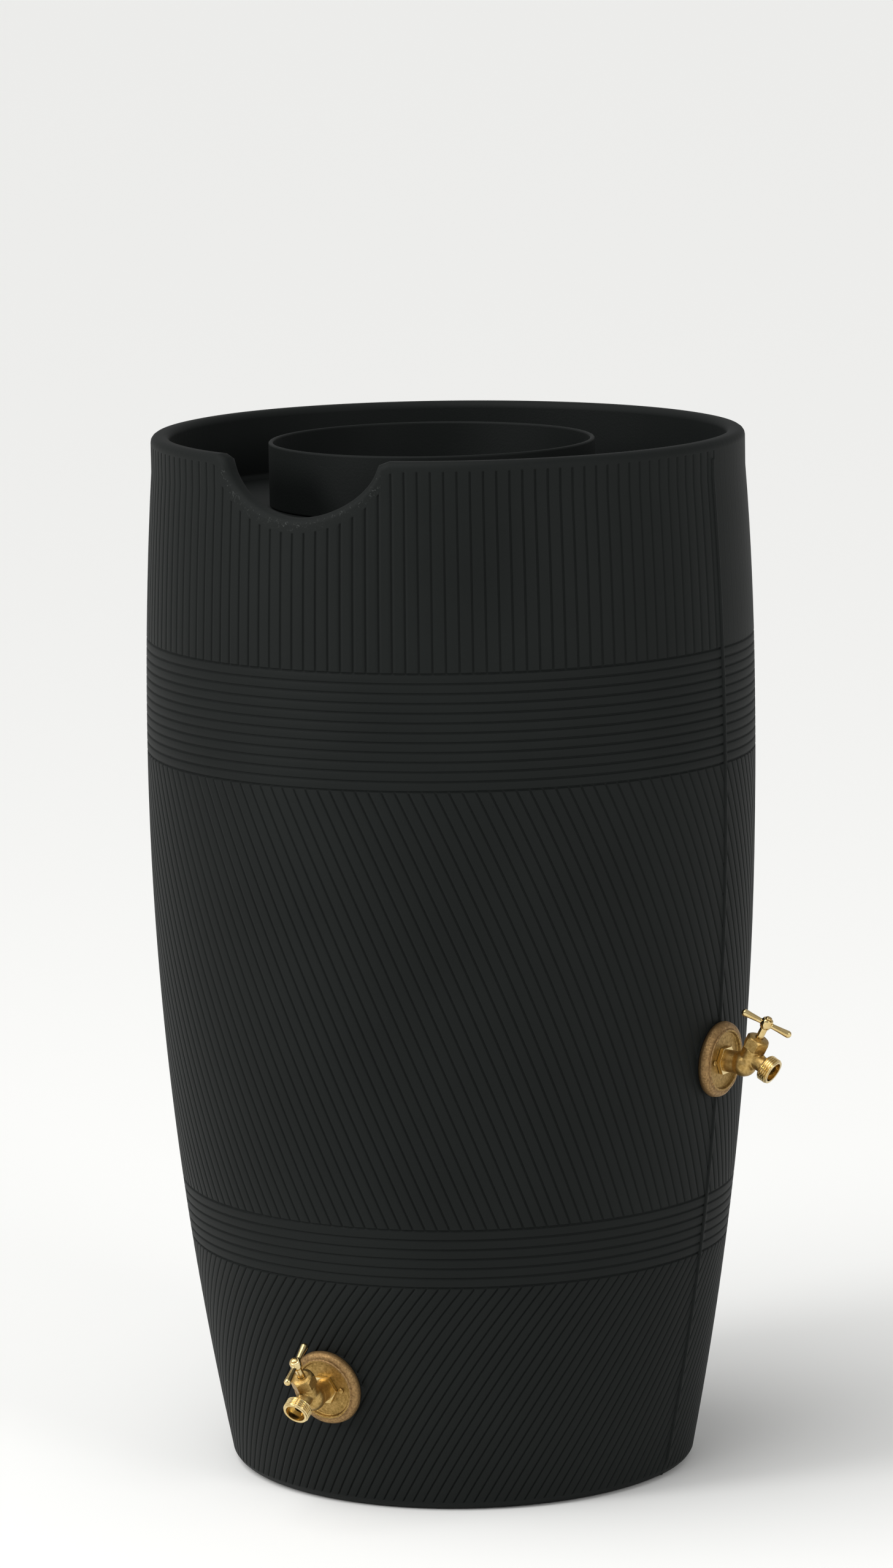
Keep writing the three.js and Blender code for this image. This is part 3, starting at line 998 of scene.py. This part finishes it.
def stem():
    spindle = turned(rounded([
        (0, 11.9, 0),
        (5.2, 11.9, 0.3),
        (5.2, 17, 0),
        (6.2, 17, 0.3),
        (6.2, 21, 0.3),
        (3.75, 21, 0),
        (3.75, hub_height - 5.3, 0.3),
        (2.8, hub_height - 5.3, 0),
        (2.8, hub_height + 1.5, 0.2),
        (0, hub_height + 1.5, 0),
    ]), 40)
    spindle = combined(spindle, drum(1.9, 10, 18.5, 20), "DIFFERENCE")
    return combined(spindle, drum(1.9, hub_height - 4, hub_height + 3, 20), "DIFFERENCE")


def tee_handle():
    """A round hub with two arms that thicken towards their rounded ends."""
    handle = bmesh.new()
    absorb(handle, turned(rounded([
        (0, hub_height - 5.1, 0),
        (4.8, hub_height - 5.1, 0.6),
        (5.8, hub_height - 2, 1),
        (5.8, hub_height + 3.2, 1),
        (4.9, hub_height + 5.1, 0.6),
        (0, hub_height + 5.1, 0),
    ]), 48))
    tip = 3.65
    reach = handle_span / 2 + 0.1
    arm_line = [(0, 0), (2.7, 0), (2.6, 7), (3, 14)]
    for k in range(9):
        angle = math.pi / 2 * k / 8
        arm_line.append((tip * math.cos(angle), reach - tip + tip * math.sin(angle)))
    for side_turn in (1, -1):
        arm = turned(arm_line, 32)
        arm.transform(Matrix.Rotation(side_turn * math.pi / 2, 4, "X"))
        arm.transform(Matrix.Translation((0, 0, hub_height)))
        absorb(handle, arm)
    handle = worked(
        handle,
        ("REMESH", {"mode": "VOXEL", "voxel_size": 0.42}),
        ("SMOOTH", {"factor": 0.5, "iterations": 3}),
    )
    handle = combined(handle, drum(3.1, hub_height - 6, hub_height + 1.8, 40), "DIFFERENCE")
    return combined(handle, drum(1.9, hub_height, hub_height + 6, 24), "DIFFERENCE")


def handle_screw():
    top = hub_height + 5.3
    screw = turned(rounded([
        (0, hub_height - 3, 0),
        (1.6, hub_height - 3, 0.3),
        (1.6, top, 0),
        (3.3, top, 0.3),
        (3.2, top + 1.6, 0.8),
        (0, top + 2.2, 0),
    ]), 40)
    return combined(screw, moved(slot_cutter(7, 0.9), Matrix.Translation((0, 0, top + 2))), "DIFFERENCE")


def slot_cutter(length, width):
    """A small block that cuts a screwdriver slot."""
    block = bmesh.new()
    bmesh.ops.create_cube(block, size=1)
    bmesh.ops.scale(block, vec=(length, width, 1.6), verts=block.verts)
    return block


def flange_screw(x):
    head = flange_face + seat_gap
    screw = turned(rounded([
        (0, -5, 0),
        (1.6, -4, 0.3),
        (1.6, head, 0),
        (2.9, head, 0.2),
        (2.7, head + 1.4, 0.8),
        (0, head + 2, 0),
    ]), 32)
    return moved(screw, Matrix.Translation((x, 0, 0)))


for tap, (_, _, handle_turn) in taps.items():
    place = tap_frame(tap)
    on_stem = place @ stem_frame
    turned_handle = on_stem @ Matrix.Rotation(math.radians(handle_turn), 4, "Z")
    fixed, handle_body = "tank", tap + "_handle"
    flange = moved(wall_flange(len(tap)), place)
    shaded(flange, tap + "_flange", fixed, [sand_cast, dished_face],
           [tap + "_wall_flange"], 50)
    body = moved(valve_body(), place)
    shaded(body, tap + "_valve", fixed, [tumbled, polished], [tap + "_valve_body"], 35)
    nut = moved(packing_nut(), on_stem)
    shaded(nut, tap + "_bonnet_nut", fixed, [tumbled], [tap + "_packing_nut"], 35)
    spindle = moved(stem(), on_stem)
    shaded(spindle, tap + "_spindle", handle_body, [polished], [tap + "_stem"], 35)
    handle = moved(tee_handle(), turned_handle)
    shaded(handle, tap + "_tee", handle_body, [polished], [tap + "_tee_handle"], 40)
    screw = moved(handle_screw(), turned_handle)
    shaded(screw, tap + "_top_screw", handle_body, [polished], [tap + "_handle_screw"], 35)
    for hand, x in (("left", -flange_screw_x), ("right", flange_screw_x)):
        screw = moved(flange_screw(x), place)
        node = tap + "_flange_screw_" + hand
        shaded(screw, tap + "_wall_screw_" + hand, fixed, [tumbled], [node], 35)


# ---- Pieces inside the wall and the valve
# Lock nut and washer screw in turned brass, and gasket, packing and seat washer in black
# rubber. They keep the shapes that they were designed with.

def rubber():
    made, tree = material("moulded black rubber")
    place = add(tree, "ShaderNodeTexCoord").outputs["Object"]
    bloom = add(tree, "ShaderNodeTexNoise", {"Vector": place, "Scale": per_mm(3), "Detail": 3.0})
    tone = add(tree, "ShaderNodeValToRGB", {"Fac": bloom.outputs["Fac"]})
    tone.color_ramp.elements[0].color = linear("#141414")
    tone.color_ramp.elements[1].color = linear("#262626")
    shader = add(tree, "ShaderNodeBsdfPrincipled", {"Base Color": tone.outputs["Color"], "Roughness": 0.8})
    add(tree, "ShaderNodeOutputMaterial", {"Surface": shader.outputs["BSDF"]})
    return made


rubber_finish = rubber()
inner_pieces = {
    "wall_gasket": rubber_finish,
    "packing_washer": rubber_finish,
    "seat_washer": rubber_finish,
    "lock_nut": polished,
    "washer_screw": polished,
}
for tap in taps:
    for name, finish in inner_pieces.items():
        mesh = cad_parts[tap + "_" + name].data
        mesh.materials.clear()
        mesh.materials.append(finish)


# ---- Stage
# A plain white floor and background, a broad overhead light and two soft lamps.

floor = bpy.data.objects.new("floor", bpy.data.meshes.new("floor"))
bm = bmesh.new()
bmesh.ops.create_grid(bm, x_segments=1, y_segments=1, size=40)
bm.to_mesh(floor.data)
bm.free()
floor_finish, tree = material("matt white studio floor")
paint = add(tree, "ShaderNodeBsdfPrincipled", {"Base Color": linear("#f4f4f2"), "Roughness": 0.9})
add(tree, "ShaderNodeOutputMaterial", {"Surface": paint.outputs["BSDF"]})
floor.data.materials.append(floor_finish)
bpy.context.scene.collection.objects.link(floor)

world = bpy.data.worlds.new("studio")
world.use_nodes = True
tree = world.node_tree
tree.nodes.clear()
lit = add(tree, "ShaderNodeBackground", {"Color": linear("#ffffff"), "Strength": 0.42})
seen = add(tree, "ShaderNodeBackground", {"Color": linear("#ffffff"), "Strength": 1.0})
path = add(tree, "ShaderNodeLightPath")
both = add(tree, "ShaderNodeMixShader", {0: path.outputs["Is Camera Ray"], 1: lit.outputs[0],
                                         2: seen.outputs[0]})
add(tree, "ShaderNodeOutputWorld", {"Surface": both.outputs[0]})
bpy.context.scene.world = world
bpy.context.scene.view_settings.view_transform = "Standard"


def aimed_light(name, kind, place, size, power):
    light = bpy.data.objects.new(name, bpy.data.lights.new(name, kind))
    light.data.energy = power
    light.location = place
    light.rotation_euler = (Vector((0, 0, 0.5)) - Vector(place)).to_track_quat("-Z", "Y").to_euler()
    bpy.context.scene.collection.objects.link(light)
    if kind == "SUN":
        light.data.angle = math.radians(size)
    else:
        light.data.shape = "DISK"
        light.data.size = size


aimed_light("sky panel", "SUN", (-1.5, -2.5, 6), 60, 1.9)
aimed_light("key", "AREA", (-2.6, -4.2, 2.6), 1.6, 90)
aimed_light("fill", "AREA", (4.6, -1.6, 2.4), 1.8, 60)
